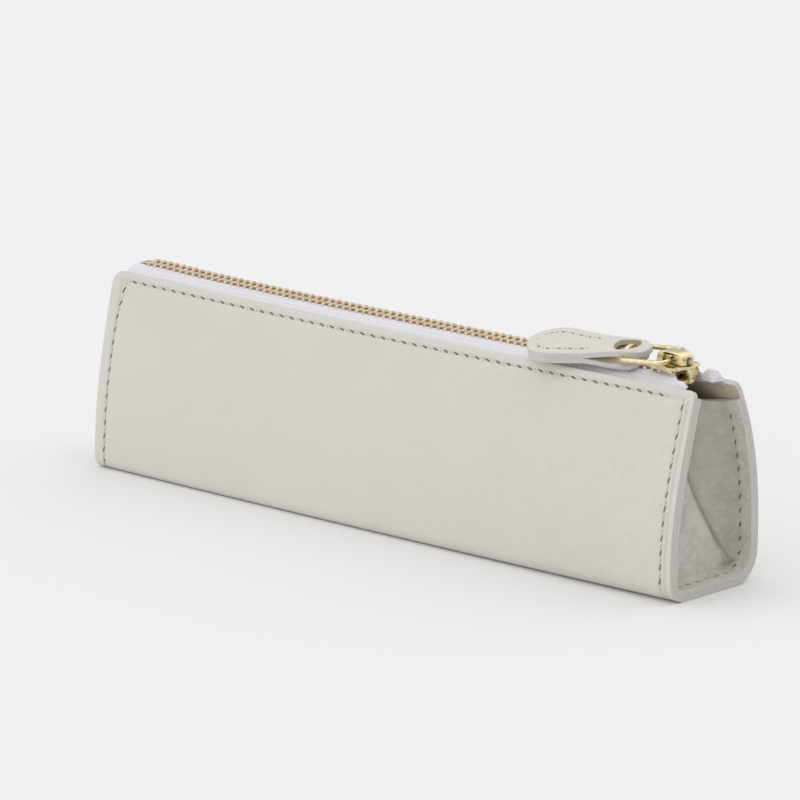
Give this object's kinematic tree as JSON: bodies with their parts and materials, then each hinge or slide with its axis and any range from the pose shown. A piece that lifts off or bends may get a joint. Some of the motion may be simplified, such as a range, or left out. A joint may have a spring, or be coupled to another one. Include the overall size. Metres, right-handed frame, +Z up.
{
  "type": "leather pen case",
  "caption": "Long soft leather pen case with a folded body, creased end gussets, a metal zip along the top and a drop-shaped leather pull.",
  "frame": {"origin": "centre of the base, on the surface that the case stands on", "axes": "+X along the case towards the closed end of the zip, -Y is the front, +Z is up"},
  "size_m": [0.2, 0.0318, 0.0591],
  "materials": {
    "ivory_leather": "soft pebbled",
    "white_tape": "woven",
    "brass": "satin",
    "gold_plate": "polished",
    "spring_steel": "satin",
    "linen_thread": "twisted"
  },
  "bodies": {
    "case": {"body_wrap": "ivory_leather", "right_gusset": "ivory_leather", "left_gusset": "ivory_leather", "front_zip_tape": "white_tape", "back_zip_tape": "white_tape", "front_zip_teeth": "brass", "back_zip_teeth": "brass", "front_top_stop": "brass", "back_top_stop": "brass", "bottom_stop": "brass", "front_lip_seam": "linen_thread", "back_lip_seam": "linen_thread", "right_end_seam": "linen_thread", "left_end_seam": "linen_thread"},
    "slider": {"slider_body": "gold_plate", "slider_crown": "gold_plate", "slider_lock_spring": "spring_steel"},
    "ring": {"pull_ring": "gold_plate"},
    "tab": {"pull_tab_top": "ivory_leather", "pull_tab_bottom": "ivory_leather", "pull_tab_thread": "linen_thread"}
  },
  "joints": [
    {"name": "zip_slide", "type": "slide", "parent": "case", "child": "slider", "axis": [-1, 0, 0], "range_m": [0, 0.1765], "deforming": ["front_zip_teeth", "back_zip_teeth", "front_zip_tape", "back_zip_tape"]},
    {"name": "pull_ring_swing", "type": "hinge", "parent": "slider", "child": "ring", "pos_m": [0.0865, 0, 0.05715], "axis": [-0.1462, 0.9672, 0.2077], "range_deg": [0, 120]},
    {"name": "pull_tab_swing", "type": "hinge", "parent": "ring", "child": "tab", "pos_m": [0.07443, -0.0017, 0.05655], "axis": [-0.1462, 0.9672, 0.2077], "range_deg": [0, 55]}
  ]
}
